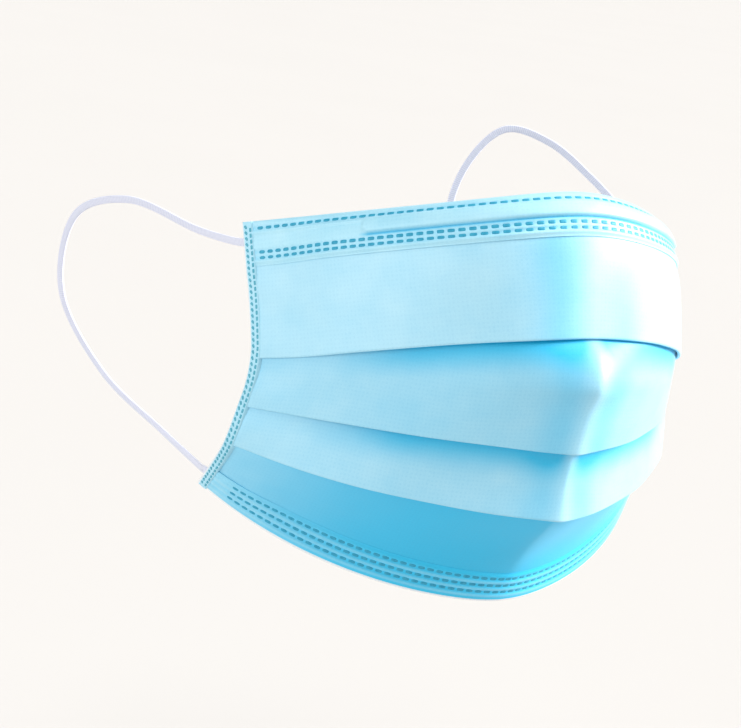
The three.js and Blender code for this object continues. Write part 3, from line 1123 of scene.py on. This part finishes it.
def row_welds(place, stand, row, reach):
    """Places, ways and outward vectors of the welds along one row of a hem."""
    count = int(reach / WELD_PITCH)
    shares = np.arange(-count, count + 1) * WELD_PITCH / HALF_WIDTH
    flat = 0 * shares
    lift = -stand(shares, row) - HEM_CLOTH / 2 - WELD_PROUD
    middle = place(shares, row + flat, lift)
    ahead = place(shares + WELD_STEP / HALF_WIDTH, row + flat, lift)
    lower = place(shares, row + WELD_STEP + flat, lift)
    along = unit(ahead - middle)
    outward = unit(np.cross(along, lower - middle))
    outward = outward * np.sign(-outward[:, 1:2])
    return middle, along, outward


def hem_welds(name, place, stand, rows, reach):
    found = [row_welds(place, stand, row, reach) for row in rows]
    places, along, outward = (np.concatenate(part) for part in zip(*found))
    size = (WELD_LENGTH, WELD_WIDTH, WELD_HEIGHT)
    return lay_welds(name, places, along, outward, size, WELD)


def column_welds(side, across, stagger, slant):
    """The same for one column of welds down a pressed edge, in front and then behind."""
    level = np.linspace(BAND_WELD_END, BOTTOM - BAND_WELD_END, 2000)
    length = run_along(band_point(side, level, across, 0 * level))
    lengths = np.arange(stagger * BAND_WELD_PITCH, length[-1], BAND_WELD_PITCH)
    at = np.interp(lengths, length, level)
    share = side * (1 - across / HALF_WIDTH) + 0 * at
    for inset in (BAND_WELD_LIFT - band_front(at), band_back(at)):
        middle = band_point(side, at, across, inset)
        down = unit(band_point(side, at + EDGE_STEP, across, inset) - middle)
        outward = edge_side(at, share) * column(np.sign(inset))
        sideways = unit(np.cross(outward, down))
        yield middle, unit(down + slant * sideways), outward


def band_welds(name, side):
    """Two staggered columns of small welds down a pressed edge, the outer ones slanted."""
    parts = [part for given in BAND_COLUMNS for part in column_welds(side, **given)]
    places, along, outward = (np.concatenate(part) for part in zip(*parts))
    return lay_welds(name, places, along, outward, BAND_WELD_SIZE, EDGE_WELD)


# What each piece rides and stands for


def trim(piece):
    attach(piece, "root")
    return piece


def stand_for(piece, node):
    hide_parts(node)
    return trim(piece)


# Ear loops

CURVE_STEPS = 24
LOOP_POINTS = 261
LOOP_SIDES = 28
STRAP_DOWN = np.array([0, 0.2, -1.0])


def between(t, start, end, p, q):
    return ((end - t) * p + (t - start) * q) / (end - start)


def curve_through(knots):
    """A smooth line through the knots, all but the first and the last."""
    line = []
    for p0, p1, p2, p3 in zip(knots, knots[1:], knots[2:], knots[3:]):
        t1 = np.sqrt(np.linalg.norm(p1 - p0))
        t2 = t1 + np.sqrt(np.linalg.norm(p2 - p1))
        t3 = t2 + np.sqrt(np.linalg.norm(p3 - p2))
        for t in np.linspace(t1, t2, CURVE_STEPS, endpoint=False):
            a1 = between(t, 0, t1, p0, p1)
            a2 = between(t, t1, t2, p1, p2)
            a3 = between(t, t2, t3, p2, p3)
            b1 = between(t, 0, t2, a1, a2)
            b2 = between(t, t1, t3, a2, a3)
            line.append(between(t, t1, t2, b1, b2))
    return np.array([*line, knots[-2]])


def loop_line(side_name):
    """The elastic's line, from its weld inside the upper corner round to the lower corner."""
    side = -1 if side_name == "right" else 1
    shares = side * np.array([1 - LOOP_INSET / HALF_WIDTH, 1 - LOOP_INSET / MASK_WIDTH, 1])
    flat = 0 * shares
    upper = top_place(shares, LOOP_DOWN + flat, LOOP_SEAT + flat)
    lower = bottom_place(shares, LOOP_DOWN + flat, LOOP_SEAT + flat)[::-1]
    knots = np.concatenate([upper, np.array(LOOP_ROUTES[side_name]) * MM, lower])
    knots = np.concatenate([2 * knots[:1] - knots[1:2], knots, 2 * knots[-1:] - knots[-2:-1]])
    line = curve_through(knots)
    length = run_along(line)
    even = np.linspace(0, length[-1], LOOP_POINTS)
    return np.stack([np.interp(even, length, line[:, i]) for i in range(3)], axis=1)


def ribbon_frames(line, first_across, last_across):
    """Across and outward vectors along a line, turning as little as they can between two ends."""
    way = unit(np.gradient(line, axis=0))
    across = [unit(first_across - way[0] * np.dot(first_across, way[0]))]
    for tangent in way[1:]:
        across.append(unit(across[-1] - tangent * np.dot(across[-1], tangent)))
    across = np.array(across)
    out = np.cross(way, across)
    goal = unit(last_across - way[-1] * np.dot(last_across, way[-1]))
    turn = math.atan2(np.dot(goal, out[-1]), np.dot(goal, across[-1]))
    turn = (turn + math.pi / 2) % math.pi - math.pi / 2
    angle = column(np.linspace(0, turn, len(line)))
    return np.cos(angle) * across + np.sin(angle) * out, np.cos(angle) * out - np.sin(angle) * across


def flattened(values, power):
    return np.sign(values) * np.abs(values) ** power


def ear_loop(side_name):
    """A flat strap of ribbed elastic along its line."""
    line = loop_line(side_name)
    across, out = ribbon_frames(line, STRAP_DOWN, STRAP_DOWN)
    angle = np.linspace(0, 2 * np.pi, LOOP_SIDES, endpoint=False)
    wide = flattened(np.cos(angle), 0.7) * LOOP_WIDTH / 2
    ribs = 1 - 0.1 * np.cos(2 * np.pi * LOOP_RIBS * wide / LOOP_WIDTH)
    thick = flattened(np.sin(angle), 0.6) * LOOP_THICKNESS / 2 * ribs
    rings = line[:, None] + across[:, None] * column(wide) + out[:, None] * column(thick)
    uv = tube_uv(wide, np.linspace(0, LOOP_LENGTH, LOOP_POINTS))
    faces = tube_faces(LOOP_POINTS, LOOP_SIDES)
    name = "ear_loop_" + side_name + "_elastic"
    loop = link_mesh(name, rings.reshape(-1, 3), faces, [ELASTIC], None, uv, 60)
    stand_for(loop, "ear_loop_" + side_name)


# Studio

FLOOR_BELOW = 0.14
FLOOR_RADIUS = 60
FLOOR_SIDES = 96
WORLD_COLOUR = (0.95, 0.98, 1.0)
WORLD_STRENGTH = 0.3

# The lights: the place that each comes from, its strength, its spread in degrees and its colour
LIGHTS = (
    ("left_cheek_light", (0.95, -0.3, 0.5), 6.6, 26, (1.0, 0.93, 0.9)),
    ("right_cheek_light", (-1.0, -0.1, 0.35), 1.4, 40, (1.0, 0.99, 0.98)),
    ("upper_light", (0.1, -0.25, 0.95), 1.45, 50, (1.0, 0.99, 0.97)),
)


def studio_floor():
    """A wide plain pale floor, some way below the mask, that ends beyond what any view shows."""
    bottom = cad_box[0][2] - FLOOR_BELOW
    turn = np.linspace(0, 2 * np.pi, FLOOR_SIDES, endpoint=False)
    vertices = [(FLOOR_RADIUS * math.cos(a), FLOOR_RADIUS * math.sin(a), bottom) for a in turn]
    mesh = bpy.data.meshes.new("studio_floor")
    mesh.from_pydata(vertices, [], [tuple(range(FLOOR_SIDES))])
    mesh.materials.append(plain_floor("pale_floor", (0.532, 0.534, 0.524), (0.537, 0.539, 0.529)))
    floor = new_object("studio_floor", mesh)
    floor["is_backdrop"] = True


def soft_sun(name, place, strength, spread, colour):
    """Broad even light that comes from the direction of a place."""
    data = bpy.data.lights.new(name, "SUN")
    data.energy = strength
    data.angle = math.radians(spread)
    data.color = colour
    back = unit(np.array(place, dtype=float))
    right = unit(np.cross([0, 0, 1.0], back))
    up = np.cross(back, right)
    new_object(name, data).matrix_world = placed(back, right, up, back)


def studio_light():
    world = bpy.data.worlds.new("studio_air")
    world.use_nodes = True
    sky = world.node_tree.nodes["Background"]
    sky.inputs["Color"].default_value = (*WORLD_COLOUR, 1)
    sky.inputs["Strength"].default_value = WORLD_STRENGTH
    bpy.context.scene.world = world
    for light in LIGHTS:
        soft_sun(*light)


def main():
    photo_camera()
    for side_name in ("right", "left"):
        ear_loop(side_name)
    body = stand_for(pleated_body(), "pleated_body")
    upper = stand_for(top_hem(), "top_hem")
    lower = stand_for(bottom_hem(), "bottom_hem")
    stand_for(nose_wire(), "nose_wire")
    inside = HALF_WIDTH - SIDE_BAND
    reach = inside - TOP_ROWS_END
    trim(hem_welds("top_hem_welds", top_place, top_hem_stand, TOP_ROWS, reach))
    reach = inside - BOTTOM_ROWS_END
    trim(hem_welds("bottom_hem_welds", bottom_place, bottom_hem_stand, BOTTOM_ROWS, reach))
    for side_name, side in (("right", -1), ("left", 1)):
        band = side_band("side_band_" + side_name + "_strip", side)
        stand_for(band, "side_band_" + side_name)
        trim(band_welds("side_band_" + side_name + "_welds", side))
    studio_floor()
    studio_light()
    view = bpy.context.scene.view_settings
    view.view_transform = "Standard"
    view.look = "None"
    view.exposure = 0
    boxes = {"cad": cad_box, "visual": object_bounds()}
    {k: [[float(v) for v in corner] for corner in b] for k, b in boxes.items()}


main()
